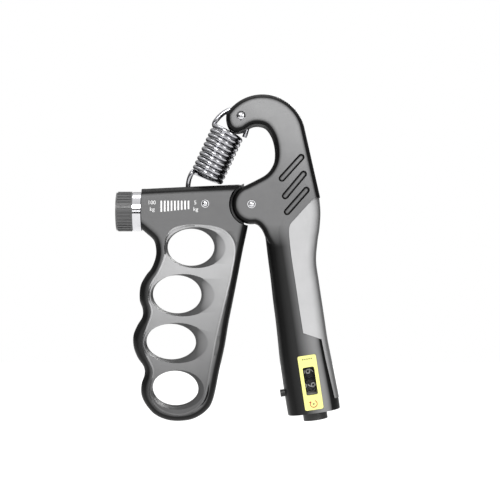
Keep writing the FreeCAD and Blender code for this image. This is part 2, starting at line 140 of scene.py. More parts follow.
def moulded(name, tone, rough, grain=9000.0):
    """Moulded plastic of a given tone, a function of the node builder that paints light and shade into it,
    with fine grain and faint mottling.
    """
    n = Nodes(name)
    mottle = n.ramp(n.noise(160.0, 4.0), 0.3, 0.7, 0.97, 1.03)
    shade = n.add("ShaderNodeVectorMath")
    shade.operation = "SCALE"
    n.link(tone(n), shade.inputs[0])
    n.link(mottle, shade.inputs["Scale"])
    n.link(shade.outputs[0], n.shader.inputs["Base Color"])
    n.link(n.ramp(n.noise(700.0, 5.0), 0.3, 0.7, rough - 0.04, rough + 0.06), n.shader.inputs["Roughness"])
    n.shader.inputs["Specular IOR Level"].default_value = PLASTIC_SPECULAR
    n.bump(n.noise(grain, 2.0), 0.2, 0.00005)
    return n.material


def along(n, direction, start, end, at_start, at_end):
    """A grey that runs from one level to another along a direction through the part, in metres."""
    dot = n.add("ShaderNodeVectorMath")
    dot.operation = "DOT_PRODUCT"
    n.link(n.place(), dot.inputs[0])
    dot.inputs[1].default_value = direction
    return n.mix(n.ramp(dot.outputs["Value"], start, end), grey(at_start), grey(at_end))


def height_ramp(n, low, high):
    """0 below one height and 1 above another, in metres."""
    split = n.add("ShaderNodeSeparateXYZ")
    n.link(n.place(), split.inputs["Vector"])
    return n.ramp(split.outputs["Z"], low, high)


def frame_tone(n):
    """Painted shade makes the rim outside the finger rings darker than the beam above them, darkest at the
    left, and turns the rounded edges near black.
    """
    rim = along(n, (1.0, 0.0, 0.0), -0.0420, -0.0340, 0.020, 0.155)
    face = n.mix(height_ramp(n, 0.086, 0.097), rim, grey(0.150))
    return n.mix(sides_factor(n, 0.88, 0.999), grey(0.003), face)


def recess_edge_tone(n):
    """A painted highlight: the bright line where the sunk area's wall rises."""
    return along(n, (-0.1, 0.0, 1.0), 0.010, 0.080, 0.14, 0.60)


def recess_tone(n):
    """Painted light and shade: lighter towards the beam, with painted shade where the rings' walls turn away.
    """
    floor = along(n, (-0.1, 0.0, 1.0), 0.014, 0.080, 0.10, 0.42)
    return n.mix(sides_factor(n, 0.86, 1.0), grey(0.075), floor)


def shell_tone(n):
    """The head is a lighter grey than the grip below it. Painted shade darkens the grip's left side and a
    painted highlight lightens its right; a painted highlight grows towards the head's upper right; painted
    shade turns the rounded edges near black.
    """
    # Painted shade on the grip's left side, a painted highlight on its right.
    grip = along(n, tuple(INWARD), 0.0395, 0.0535, 0.016, 0.36)
    # A painted highlight towards the head's upper right.
    head = along(n, (0.5, 0.0, 0.866), 0.115, 0.145, 0.165, 0.30)
    face = n.mix(height_ramp(n, 0.088, 0.099), grip, head)
    return n.mix(sides_factor(n, 0.86, 0.998), grey(0.002), face)


def pad_tone(n):
    """Light rubber, with painted shade where it wraps round the side."""
    return n.mix(sides_factor(n, 0.45, 0.93), grey(0.11), grey(0.47))


def plain(name, colour, rough, metal=0.0, spread=0.06, grain=4000.0, depth=0.00002, coat=0.0):
    """One colour with slight variation in tone and roughness and a fine bump."""
    n = Nodes(name)
    vary = n.ramp(n.noise(220.0, 4.0), 0.3, 0.7)
    dark = tuple(c * (1 - spread) for c in colour[:3]) + (1.0,)
    light = tuple(min(1.0, c * (1 + spread)) for c in colour[:3]) + (1.0,)
    n.link(n.mix(vary, dark, light), n.shader.inputs["Base Color"])
    n.link(n.ramp(n.noise(900.0, 5.0), 0.3, 0.7, rough * 0.8, rough * 1.25), n.shader.inputs["Roughness"])
    n.shader.inputs["Metallic"].default_value = metal
    n.shader.inputs["Coat Weight"].default_value = coat
    n.bump(n.noise(grain, 2.0), 0.2, depth)
    return n.material


def window_glass():
    """Thin dark plastic that the number wheels show through."""
    n = Nodes("window_smoke")
    n.shader.inputs["Base Color"].default_value = grey(0.02)
    n.shader.inputs["Alpha"].default_value = 0.25
    n.link(n.ramp(n.noise(500.0), 0.3, 0.7, 0.05, 0.12), n.shader.inputs["Roughness"])
    n.material.surface_render_method = "BLENDED"
    return n.material


# These moulded materials carry painted light and shade: near-black edges, shaded sides and painted
# highlights.
SHELL = moulded("shell_grain_painted_light", shell_tone, 0.42)
FRAME = moulded("frame_grain_painted_shade", frame_tone, 0.42)
RECESS_PAINTED_SHADING = moulded("frame_recess_painted_light_and_shade", recess_tone, 0.48)
RECESS_EDGE_HIGHLIGHT = moulded("frame_recess_edge_painted_highlight", recess_edge_tone, 0.48)
PAD = moulded("pad_soft", pad_tone, 0.55, 6000.0)
KNOB = plain("knob_plastic", grey(0.095), 0.40)
CHROME = plain("polished_steel", (0.66, 0.66, 0.68, 1), 0.12, 1.0, 0.04, 1500.0, 0.000004)
WIRE = plain("spring_wire", (0.43, 0.43, 0.45, 1), 0.14, 1.0, 0.05, 1500.0, 0.000006)
STEEL = plain("turned_steel", (0.58, 0.58, 0.60, 1), 0.30, 1.0, 0.10)
BRASS = plain("bush_brass", (0.72, 0.52, 0.22, 1), 0.30, 1.0)
NYLON = plain("nylon", (0.80, 0.78, 0.70, 1), 0.50)
BLACK = plain("moulded_black", grey(0.012), 0.45)
WHEEL = plain("wheel_black", grey(0.010), 0.30)
YELLOW = plain("bezel_yellow", (0.90, 0.88, 0.28, 1), 0.38, 0.0, 0.03)
INK_WHITE = plain("ink_white", (0.88, 0.88, 0.88, 1), 0.50)
INK_DARK = plain("ink_dark", grey(0.03), 0.55)
INK_RED = plain("ink_red", (0.45, 0.10, 0.05, 1), 0.55)

DRESS = {
    "palm_shell_front": SHELL, "palm_shell_back": SHELL, "palm_pad": PAD, "counter_bezel": YELLOW,
    "counter_window": window_glass(), "case_screw_1": STEEL, "case_screw_2": STEEL, "case_screw_3": STEEL,
    "main_pivot_pin": CHROME, "upper_spring_pin": CHROME, "pivot_washer_front": NYLON,
    "pivot_washer_back": NYLON, "counter_frame": BLACK, "finger_frame": FRAME, "beam_rivet_front": CHROME,
    "beam_rivet_back": CHROME, "pivot_bush": BRASS, "resistance_knob": KNOB, "knob_ring": CHROME,
    "lead_screw": STEEL, "thrust_clip": STEEL, "slider": BLACK, "anchor_pin": CHROME, "units_wheel": WHEEL,
    "ratchet_wheel": NYLON, "tens_wheel": WHEEL, "reset_knob": BLACK, "counter_shaft": STEEL,
    "counter_plunger": BLACK, "spring_top": WIRE, "spring_bottom": WIRE,
}
for node, material in DRESS.items():
    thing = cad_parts[node]
    thing.data.materials.clear()
    thing.data.materials.append(material)


# ---- mesh helpers ----

def add_object(name, data, material, body):
    obj = bpy.data.objects.new(name, data)
    bpy.context.scene.collection.objects.link(obj)
    if material:
        data.materials.append(material)
    if body:
        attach(obj, body)
    return obj


def mesh_from(name, verts, faces, material, body, smooth=True):
    data = bpy.data.meshes.new(name)
    data.from_pydata(verts, [], faces)
    data.update()
    for face in data.polygons:
        face.use_smooth = smooth
    return add_object(name, data, material, body)


def skin(rings, sides):
    """The faces between successive rings of vertices, and a cap at each end."""
    faces = []
    for i in range(rings - 1):
        for k in range(sides):
            a, b = i * sides + k, i * sides + (k + 1) % sides
            faces.append((a, b, b + sides, a + sides))
    faces.append(tuple(range(sides))[::-1])
    faces.append(tuple(range((rings - 1) * sides, rings * sides)))
    return faces


def tube(points, radius, sides):
    """Rings of vertices along a path, closed by a flat cap at each end."""
    verts = []
    count = len(points)
    tangents = [(points[min(i + 1, count - 1)] - points[max(i - 1, 0)]).normalized() for i in range(count)]
    across = Vector((0, 1, 0))
    for i, point in enumerate(points):
        across = (across - tangents[i] * across.dot(tangents[i])).normalized()
        up = tangents[i].cross(across)
        for k in range(sides):
            turn = 2 * math.pi * k / sides
            verts.append(point + (across * math.cos(turn) + up * math.sin(turn)) * radius)
    return verts, skin(count, sides)


# ---- handles: thick rounded plates cut from outlines, and a lofted barrel ----

# _AT is a place (x, z), _HALF is half a thickness across Y, and _ROUND is a rim's rounding radius.
FRAME_HALF = 9.0
FRAME_ROUND = 4.8
RECESS_DEPTH = 1.8
RECESS_FLOOR = FRAME_HALF - RECESS_DEPTH
RECESS_BLOCK = 3.0
RECESS_ROUND = 1.0
RING_STRAIGHT = 4.2
RING_LEVELS = 11
RING_LEVEL_STEP = 0.45
FLARE_POWER = 1.5
FLARE_LEFT = 0.5
FLARE_TALL = 0.9
FLARE_DROP = 0.2
HEAD_HALF = 10.0
HEAD_ROUND = 3.8
HALF_THROUGH = 20
PIVOT_AT = (11.75, 109.2)
PIVOT_RADIUS = 2.0
EYE_AT = (6.55, 153.4)
EYE_RADIUS = 2.35
RIVET_AT = (-11.5, 109.45)
RIVET_RADIUS = 1.95
BEAM_END = -43.5
SCREW_HEIGHT = 105.7
SCREW_BORE = 2.56
KNUCKLE_HALF = 4.0
KNUCKLE_RADIUS = 8.6
BUSH_HOLE = 3.6
CHEEK_GAP = 4.5
HUB_RADIUS = 9.85
GAP_RADIUS = 10.75
GAP_RIM_FROM = 7.0
GAP_RIM_DEEP = 2.8

LEFT_EDGE = [
    (-43.5, 96.6), (-41.2, 94.6), (-37.6, 91.2), (-36.4, 87), (-36.6, 82.5), (-38.6, 77.2), (-41.6, 73.2),
    (-44.2, 68), (-44.6, 61.2), (-43.1, 56.4), (-43.3, 52.4), (-45.8, 48.2), (-47.8, 43), (-47.6, 37.2),
    (-45.6, 32), (-42.6, 27.4), (-42.2, 23.4), (-43.7, 18.6), (-43.7, 13.2), (-41.4, 8.2), (-37, 3.4),
    (-31, 0.7), (-24.5, 0.05),
]
RIGHT_EDGE = [(-17.5, 1.2), (-11.2, 5.1), (-7.6, 11), (-4.6, 25), (-1.9, 37.2), (0.1, 49.2), (2.5, 61.2),
              (5.0, 74), (7.3, 86)]
# Each ring: centre x and z, half width, half height, and how far its right wall sweeps out at the sunk floor.
RINGS = [
    (-19.0, 87.6, 12.0, 9.4, 6.2),
    (-26.0, 63.7, 12.5, 9.75, 7.2),
    (-29.0, 39.7, 12.75, 9.25, 6.6),
    (-26.8, 16.2, 11.75, 9.1, 3.0),
]
RECESS = [
    (-26.0, 97.9), (-12, 98.8), (-1.5, 96), (3.6, 88), (1.9, 74), (-1.4, 60), (-5.2, 44), (-8.6, 26),
    (-11.6, 11.5), (-18, 5), (-26, 3.2), (-34.5, 6), (-39.4, 13), (-38.9, 20), (-37.9, 26), (-41.0, 33),
    (-43.2, 40), (-40.8, 48), (-38.6, 55), (-40.0, 62), (-39.0, 69), (-34.8, 76), (-31.9, 84), (-31.3, 92.0),
]
ARCH_INNER = [
    (7.5, 146.0), (11, 148.2), (14.5, 149.1), (18.8, 148.0), (21.9, 143.8), (23.5, 138.2), (23.6, 132.5),
    (22.2, 128), (19.2, 124.2), (14, 121.2),
]
ARCH_TIP = [(-0.9, 150.6), (0.7, 147.2), (3.6, 145.5)]
# The grip's sections: height, centre x, width and half thickness.
BARREL = [
    (118, 35.4, 19.5, 9.6), (106, 33.4, 26.0, 10.1), (97, 32.1, 27.6, 10.5), (91, 32.0, 26.0, 10.6),
    (81, 32.2, 24.0, 10.8), (71, 33.5, 24.0, 11.0), (61, 34.8, 24.4, 11.3), (51, 36.2, 24.6, 11.7),
    (41, 37.5, 25.0, 12.1), (31, 39.0, 26.0, 12.5), (21, 40.7, 26.6, 12.8), (11, 42.4, 27.0, 13.0),
    (1, 43.9, 26.6, 13.0),
]
BARREL_POWER = 2.9


def smooth(points, per_span=8, closed=False):
    """Points along a Catmull-Rom curve through the given ones."""
    count = len(points)
    out = []
    for i in range(count if closed else count - 1):
        if closed:
            p = [points[(i + k) % count] for k in (-1, 0, 1, 2)]
        else:
            p = [points[max(0, min(count - 1, i + k))] for k in (-1, 0, 1, 2)]
        for step in range(per_span):
            t = step / per_span
            out.append(tuple(0.5 * (2 * b + (c - a) * t + (2 * a - 5 * b + 4 * c - d) * t * t
                                    + (3 * b - a - 3 * c + d) * t ** 3) for a, b, c, d in zip(*p)))
    if not closed:
        out.append(points[-1])
    return out


def round_arc(centre, radius, first, last, steps):
    """Points along an arc in XZ, between two angles in degrees."""
    return [(centre[0] + radius * math.cos(math.radians(first + (last - first) * i / steps)),
             centre[1] + radius * math.sin(math.radians(first + (last - first) * i / steps)))
            for i in range(steps + 1)]


def ellipse(x, z, wide, tall, steps=72):
    """Points round an ellipse, from its centre and its half width and half height."""
    return [(x + wide * math.cos(2 * math.pi * i / steps), z + tall * math.sin(2 * math.pi * i / steps))
            for i in range(steps)]


def plate(name, loops, half, round_by, middle=0.0):
    """A plate in XZ with rounded rims, made from an outline and its holes, in millimetres."""
    curve = bpy.data.curves.new(name, "CURVE")
    curve.dimensions = "2D"
    curve.fill_mode = "BOTH"
    for loop in loops:
        line = curve.splines.new("POLY")
        line.points.add(len(loop) - 1)
        line.use_cyclic_u = True
        for point, (x, z) in zip(line.points, loop):
            point.co = (x, z, 0, 1)
    curve.extrude = half - round_by
    curve.bevel_depth = round_by
    curve.bevel_resolution = 6
    curve.offset = -round_by
    scratch = bpy.data.objects.new(name, curve)
    bpy.context.scene.collection.objects.link(scratch)
    bpy.context.view_layer.update()
    data = bpy.data.meshes.new_from_object(scratch.evaluated_get(bpy.context.evaluated_depsgraph_get()))
    bpy.data.objects.remove(scratch)
    data.transform(Matrix.Translation((0, middle * MM, 0)) @ Matrix.Rotation(math.radians(90), 4, "X")
                   @ Matrix.Scale(MM, 4))
    weld = bmesh.new()
    weld.from_mesh(data)
    bmesh.ops.remove_doubles(weld, verts=weld.verts, dist=0.00001)
    bmesh.ops.recalc_face_normals(weld, faces=weld.faces)
    bpy.data.meshes.remove(data)
    data = bpy.data.meshes.new(name)
    weld.to_mesh(data)
    weld.free()
    return data


def frame_outline():
    """The finger handle's outline, left long where the knob and the hub cut it off afterwards."""
    ridge = smooth([(-43.5, 117.0), (-19.0, 118.2), (5.0, 119.2)], 8)
    corner = round_arc((5.0, 113.4), 5.8, 90, 0, 10)[1:]
    grips = smooth([corner[-1], (10.5, 104.0), (9.94, 98.4)] + RIGHT_EDGE[::-1] + LEFT_EDGE[::-1], 6)[1:]
    return ridge + corner + grips + [(-52.0, 104.2), (-52.0, 116.7)]


def head_outline():
    """The palm handle's outline down to where the grip's barrel takes over."""
    hub = round_arc(PIVOT_AT, HUB_RADIUS, 108, 280, 40)
    foot = smooth([hub[-1], (15.4, 98.5), (17.4, 96.0), (19.2, 92.0), (22.5, 86.5), (26.5, 80.0)], 5)[1:]
    right = smooth([(42.0, 80.0), (44.8, 92), (46.2, 98), (46.5, 106), (46.15, 113.15)], 5) + [(38.4, 147.5)]
    arch = round_arc((17.25, 142.75), 21.7, 12.6, 147.0, 48)[1:]
    tip = smooth([arch[-1]] + ARCH_TIP + ARCH_INNER + [hub[0]], 6)[1:-1]
    return hub + foot + right + arch + tip


def loft(grow, z_low, z_high, rings, sides):
    """The barrel's skin between two heights, grown all round by a distance in millimetres."""
    verts = []
    track = smooth(sorted(BARREL), 12)
    for i in range(rings + 1):
        z = z_low + (z_high - z_low) * i / rings
        for low, high in zip(track, track[1:]):
            if low[0] <= z <= high[0]:
                break
        t = (z - low[0]) / (high[0] - low[0])
        centre, width, half = (a + (b - a) * t for a, b in zip(low[1:], high[1:]))
        for k in range(sides):
            angle = 2 * math.pi * k / sides
            c, s = math.cos(angle), math.sin(angle)
            x = math.copysign(abs(c) ** (2 / BARREL_POWER), c) * (width / 2 + grow)
            y = math.copysign(abs(s) ** (2 / BARREL_POWER), s) * (half + grow)
            verts.append(((centre + x) * MM, y * MM, z * MM))
    return verts, skin(rings + 1, sides)


def scratch_object(name, data):
    """An object that is in the scene but rides on nothing yet."""
    obj = bpy.data.objects.new(name, data)
    bpy.context.scene.collection.objects.link(obj)
    return obj


def boolean(target, cutter, how="DIFFERENCE"):
    """Applies one boolean, worked in millimetres, and drops the cutter."""
    change = target.modifiers.new("cut", "BOOLEAN")
    change.operation = how
    change.solver = "MANIFOLD"
    change.object = cutter
    for part in (target, cutter):
        part.data.transform(Matrix.Scale(1 / MM, 4))
    bpy.context.view_layer.update()
    data = bpy.data.meshes.new_from_object(target.evaluated_get(bpy.context.evaluated_depsgraph_get()))
    data.transform(Matrix.Scale(MM, 4))
    target.modifiers.clear()
    old = target.data
    target.data = data
    bpy.data.meshes.remove(old)
    bpy.data.objects.remove(cutter)


def soften(obj, degrees=32):
    """Smooth shading that keeps edges sharper than this angle."""
    for face in obj.data.polygons:
        face.use_smooth = True
    obj.data.set_sharp_from_angle(angle=math.radians(degrees))


def cylinder(centre, radius, low, high, sides=48):
    """A cylinder across Y, as a scratch object; centre is (x, z) in millimetres."""
    data = bpy.data.meshes.new("cutter")
    shape = bmesh.new()
    place = Matrix.Translation((centre[0] * MM, (low + high) / 2 * MM, centre[1] * MM)) @ Matrix.Rotation(
        math.radians(90), 4, "X")
    bmesh.ops.create_cone(shape, cap_ends=True, segments=sides, radius1=radius * MM, radius2=radius * MM,
                          depth=(high - low) * MM, matrix=place)
    shape.to_mesh(data)
    shape.free()
    return scratch_object("cutter", data)


def block(x, y, z):
    """A box between (low, high) millimetre limits, as a scratch object."""
    data = bpy.data.meshes.new("cutter")
    shape = bmesh.new()
    middle = [(a + b) / 2 * MM for a, b in (x, y, z)]
    size = [(b - a) * MM for a, b in (x, y, z)]
    bmesh.ops.create_cube(shape, size=1.0, matrix=Matrix.Translation(middle) @ Matrix.Diagonal((*size, 1)))
    shape.to_mesh(data)
    shape.free()
    return scratch_object("cutter", data)


def lofted_cutter(levels):
    """A closed plug through equal rings of (x, y, z) millimetre points."""
    verts = [(x * MM, y * MM, z * MM) for ring in levels for x, y, z in ring]
    return placed_mesh("cutter", verts, skin(len(levels), len(levels[0])))


def ring_cutter(x, z, wide, tall, sweep, side):
    """A plug for one finger ring that opens out towards the palm near one face."""
    depths = [-0.5, RING_STRAIGHT]
    depths += [RING_STRAIGHT + RING_LEVEL_STEP * k for k in range(1, RING_LEVELS + 1)]
    levels = []
    for depth in depths:
        flare = max(0.0, (depth - RING_STRAIGHT) / (RECESS_FLOOR - RING_STRAIGHT)) ** FLARE_POWER
        across = (sweep - FLARE_LEFT) / 2 * flare
        half_wide = wide + across + FLARE_LEFT * flare
        loop = ellipse(x + across, z - FLARE_DROP * flare, half_wide, tall + FLARE_TALL * flare)
        levels.append([(px, side * depth, pz) for px, pz in loop])
    return lofted_cutter(levels)


def gap_cutter():
    """The space the palm handle's hub turns in, with rounded rims."""
    levels = []
    depths = (GAP_RIM_FROM, 7.5, 8.0, 8.5, 9.0, 9.4, 9.8)
    for y in [-depth for depth in depths[::-1]] + list(depths):
        rim = max(0.0, (abs(y) - GAP_RIM_FROM) / GAP_RIM_DEEP)
        radius = GAP_RADIUS + rim * rim
        levels.append([(px, y, pz) for px, pz in ellipse(*PIVOT_AT, radius, radius)])
    return lofted_cutter(levels)


# FOOT is on the counter's axis at the grip's foot, and CENTRE is where the window's middle is.
FOOT = Vector((43.6, -3.2, 4.9)) * MM
CENTRE = Vector((41.2, 0, 19.6)) * MM
WALL = 2.6
SEAM_HALF = 0.05
PAD_SEAT = 1.3
SEAT_SPAN = (1.5, 117.9)
SCREW_SHANK = 1.3
SCREW_HEAD = 2.7
SCREW_HEAD_FROM = 7
HOOK_SLOT_AT = (4.64, 149.3)
HOOK_SLOT_RADIUS = 10.8
HOOK_SLOT_HALF = 1.75
GROOVE_BLOCK = 2.0
GROOVE_DEPTH = 1.5
GROOVE_ROUND = 1.5
GROOVE_HALF_WIDE = 1.7
GRIP_HOLLOW = (8.6, 90.6)
BEZEL_HALF_WIDE = 4.6
BEZEL_SPAN = (-14.2, 13.0)
BEZEL_SUNK = 0.8
WINDOW_HALF_WIDE = 2.9
WINDOW_SPAN = (-8.4, 5.6)
COUNTER_ROOM = (7.2, 22.4)
SHAFT_HOLE = 1.57
PLUNGER_AT = Vector((26.3, -3.4, 13.9)) * MM
PLUNGER_HOLE = 1.91
RING_WALL = 1.5
ON_THE_FLOOR = 0.05
CASE_SCREWS_AT = [(31.5, 141.0), (26.5, 87.0), (31.2, 42.0)]
# Each groove runs between two points.
GROOVES = [((27.0, 122.0), (36.6, 132.6)), ((28.6, 113.2), (37.8, 124.2)), ((29.6, 105.3), (39.2, 116.2))]


def placed_mesh(name, verts, faces):
    """A scratch object from vertices in metres, with its faces turned outwards."""
    data = bpy.data.meshes.new(name)
    data.from_pydata(verts, [], faces)
    mend = bmesh.new()
    mend.from_mesh(data)
    bmesh.ops.recalc_face_normals(mend, faces=mend.faces)
    mend.to_mesh(data)
    mend.free()
    return scratch_object(name, data)


def rod_along(start, direction, radius, length, sides=40):
    """A cylinder from a point in metres along a direction; radius and length in millimetres."""
    data = bpy.data.meshes.new("cutter")
    shape = bmesh.new()
    turn = direction.to_track_quat("Z", "Y").to_matrix().to_4x4()
    place = Matrix.Translation(start + direction * length / 2 * MM) @ turn
    bmesh.ops.create_cone(shape, cap_ends=True, segments=sides, radius1=radius * MM, radius2=radius * MM,
                          depth=length * MM, matrix=place)
    shape.to_mesh(data)
    shape.free()
    return scratch_object("cutter", data)


def slanted_block(half_wide, top, low, near, far):
    """A box over the counter, its long side along the counter's axis, in millimetres."""
    verts = []
    for y in (near, far):
        for a, b in ((-half_wide, top), (half_wide, top), (half_wide, low), (-half_wide, low)):
            verts.append(CENTRE + (INWARD * a + DOWN * b) * MM + Vector((0, y * MM, 0)))
    faces = [(0, 1, 2, 3), (7, 6, 5, 4)] + [(i, i + 4, (i + 1) % 4 + 4, (i + 1) % 4) for i in range(4)]
    return placed_mesh("cutter", verts, faces)


def barrel_object(grow, low, high):
    """The grip's barrel between two heights as a scratch object, grown or shrunk all round."""
    return placed_mesh("barrel", *loft(grow, low, high, 70, 72))


def pill(a, b, half_wide):
    """The outline of a slot with round ends, between two points."""
    (x1, z1), (x2, z2) = a, b
    heading = math.degrees(math.atan2(z2 - z1, x2 - x1))
    return (round_arc((x2, z2), half_wide, heading - 90, heading + 90, 12)
            + round_arc((x1, z1), half_wide, heading + 90, heading + 270, 12))


def pad_area(inset):
    """The pad's outline as a block through the grip; inset moves its left edge in."""
    left = smooth([(31.0, 99.2), (30.3, 95), (31.6, 82.6), (33.5, 70.2), (35.6, 56), (37.4, 44.8)], 6)
    low = smooth([(48.65, 31.6), (51.1, 21.2), (53.2, 12.2)], 4)
    shifted = [(x + inset, z) for x, z in left + [(46.6, 41.6)] + low]
    area = [(60, 112.5), (43.0 + inset, 112.5)] + shifted + [(60, 12.2)]
    count = len(area)
    verts = [(x * MM, y * MM, z * MM) for y in (-25, 25) for x, z in area]
    faces = [tuple(range(count)), tuple(range(count, 2 * count))[::-1]]
    faces += [(i, i + count, (i + 1) % count + count, (i + 1) % count) for i in range(count)]
    return placed_mesh("pad_area", verts, faces)


def finish_piece(obj, name, material, body, replaced, degrees=32):
    """Names, dresses and shades a new piece, and puts it in its CAD node's place."""
    obj.name = name
    obj.data.name = name
    obj.data.materials.clear()
    obj.data.materials.append(material)
    soften(obj, degrees)
    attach(obj, body)
    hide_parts(replaced)


def inside(point, loop):
    """Whether a point lies inside a closed outline."""
    x, z = point
    crossings = 0
    for (x1, z1), (x2, z2) in zip(loop, loop[1:] + loop[:1]):
        if (z1 > z) != (z2 > z) and x < x1 + (z - z1) / (z2 - z1) * (x2 - x1):
            crossings += 1
    return crossings % 2 == 1


def beside_ring(x, z):
    """Whether a point is on the sloping wall of a finger ring."""
    return any(((x - ring[0]) / (ring[2] + RING_WALL)) ** 2 + ((z - ring[1]) / (ring[3] + RING_WALL)) ** 2 < 1
               for ring in RINGS)


def light_recess(obj):
    """Gives the sunk area round the finger rings a separate material of painted light and shade, lighter than
    the frame, and the faces where its wall rises a painted highlight.
    """
    obj.data.materials.append(RECESS_PAINTED_SHADING)
    obj.data.materials.append(RECESS_EDGE_HIGHLIGHT)
    loop = smooth(RECESS, 6, True)
    for face in obj.data.polygons:
        x, y, z = face.center / MM
        if RING_STRAIGHT < abs(y) < FRAME_HALF - 0.1 and inside((x, z), loop):
            raised = abs(y) > RECESS_FLOOR + ON_THE_FLOOR and not beside_ring(x, z)
            face.material_index = 2 if raised else 1


def finger_handle():
    """The beam with the slider's room and the screw's bore, and the four rings in their sunk area."""
    obj = scratch_object("finger_handle", plate("finger_handle", [frame_outline()], FRAME_HALF, FRAME_ROUND))
    boolean(obj, block((BEAM_END - 20, BEAM_END), (-HALF_THROUGH, HALF_THROUGH), (90, 125)))
    boolean(obj, gap_cutter())
    for side in (-1, 1):
        middle = side * (RECESS_FLOOR + RECESS_BLOCK)
        recess = plate("recess", [smooth(RECESS, 6, True)], RECESS_BLOCK, RECESS_ROUND, middle)
        boolean(obj, scratch_object("recess", recess))
        for ring in RINGS:
            boolean(obj, ring_cutter(*ring, side))
    slider_room = block((-41.5, -1.5), (-5, 5), (99.6, 130))
    boolean(obj, slider_room)
    boolean(obj, rod_along(Vector((-60, 0, SCREW_HEIGHT)) * MM, Vector((1, 0, 0)), SCREW_BORE, 61))
    web = cylinder(PIVOT_AT, GAP_RADIUS + 0.4, -KNUCKLE_HALF, KNUCKLE_HALF, 72)
    boolean(web, block((8.0, 30.0), (-6, 6), (90, 130)))
    boolean(obj, web, "UNION")
    boolean(obj, cylinder(PIVOT_AT, KNUCKLE_RADIUS, -KNUCKLE_HALF, KNUCKLE_HALF), "UNION")
    boolean(obj, cylinder(PIVOT_AT, BUSH_HOLE, -HALF_THROUGH, HALF_THROUGH))
    boolean(obj, cylinder(RIVET_AT, RIVET_RADIUS, -HALF_THROUGH, HALF_THROUGH))
    finish_piece(obj, "finger_handle_shell", FRAME, "finger_handle", "finger_frame")
    light_recess(obj)


def cut_grip(obj):
    """Hollows the grip, and sinks the pad's seat and the counter's bezel and window into it."""
    below_foot = rod_along(Vector((FOOT.x, 0, FOOT.z)), DOWN, 60, 30, 12)
    boolean(obj, below_foot)
    boolean(obj, barrel_object(-WALL, *GRIP_HOLLOW))
    seat = pad_area(0)
    boolean(seat, barrel_object(-PAD_SEAT, *SEAT_SPAN))
    boolean(obj, seat)
    bezel_seat = slanted_block(BEZEL_HALF_WIDE, *BEZEL_SPAN, -HALF_THROUGH, 0)
    boolean(bezel_seat, barrel_object(-BEZEL_SUNK, 1.5, 60))
    boolean(obj, bezel_seat)
    boolean(obj, slanted_block(WINDOW_HALF_WIDE, *WINDOW_SPAN, -HALF_THROUGH, -5))


def cut_grooves(obj):
    """The three round-bottomed grooves on each side of the head."""
    for a, b in GROOVES:
        for side in (-1, 1):
            middle = side * (HEAD_HALF + GROOVE_BLOCK - GROOVE_DEPTH)
            groove = plate("groove", [pill(a, b, GROOVE_HALF_WIDE)], GROOVE_BLOCK, GROOVE_ROUND, middle)
            boolean(obj, scratch_object("groove", groove))


def bore_palm_handle(obj):
    """The holes for the hub, the spring's hook, the pins, the counter and the case screws."""
    boolean(obj, cylinder(PIVOT_AT, HUB_RADIUS + 0.6, -CHEEK_GAP, CHEEK_GAP))
    boolean(obj, cylinder(HOOK_SLOT_AT, HOOK_SLOT_RADIUS, -HOOK_SLOT_HALF, HOOK_SLOT_HALF))
    boolean(obj, cylinder(PIVOT_AT, PIVOT_RADIUS, -HALF_THROUGH, HALF_THROUGH))
    boolean(obj, cylinder(EYE_AT, EYE_RADIUS, -HALF_THROUGH, HALF_THROUGH))
    boolean(obj, rod_along(FOOT - DOWN * 27.4 * MM, DOWN, *COUNTER_ROOM))
    boolean(obj, rod_along(FOOT - DOWN * 6 * MM, DOWN, SHAFT_HOLE, 12))
    boolean(obj, rod_along(PLUNGER_AT - INWARD * 3 * MM, INWARD, PLUNGER_HOLE, 12))
    for place in CASE_SCREWS_AT:
        boolean(obj, cylinder(place, SCREW_SHANK, -6, SCREW_HEAD_FROM))
        boolean(obj, cylinder(place, SCREW_HEAD, SCREW_HEAD_FROM, HALF_THROUGH))


def palm_handle():
    """Head and grip in one, cut into a front and a back half along the seam."""
    obj = scratch_object("palm_handle", plate("palm_handle", [head_outline()], HEAD_HALF, HEAD_ROUND))
    boolean(obj, barrel_object(0, 2.0, 117), "UNION")
    cut_grip(obj)
    cut_grooves(obj)
    bore_palm_handle(obj)
    for name, low, high in (("palm_shell_front", -30, -SEAM_HALF), ("palm_shell_back", SEAM_HALF, 30)):
        half = scratch_object(name, obj.data.copy())
        boolean(half, block((-60, 90), (low, high), (-20, 200)), "INTERSECT")
        finish_piece(half, name.replace("palm_shell", "palm_case"), SHELL, "palm_handle", name)
    bpy.data.objects.remove(obj)


def palm_pad():
    """The soft skin over the outside of the grip."""
    obj = barrel_object(0.25, 3.0, 116.5)
    boolean(obj, barrel_object(-PAD_SEAT, *SEAT_SPAN))
    boolean(obj, pad_area(0.15), "INTERSECT")
    for place in CASE_SCREWS_AT:
        boolean(obj, cylinder(place, SCREW_HEAD, SCREW_HEAD_FROM, HALF_THROUGH))
    finish_piece(obj, "palm_pad_soft", PAD, "palm_handle", "palm_pad")


PIN_DOME = 1.0 * MM
PIN_GAP = 0.28 * MM
PIN_NECK_LONG = 1.8 * MM
PIN_SIDES = 36


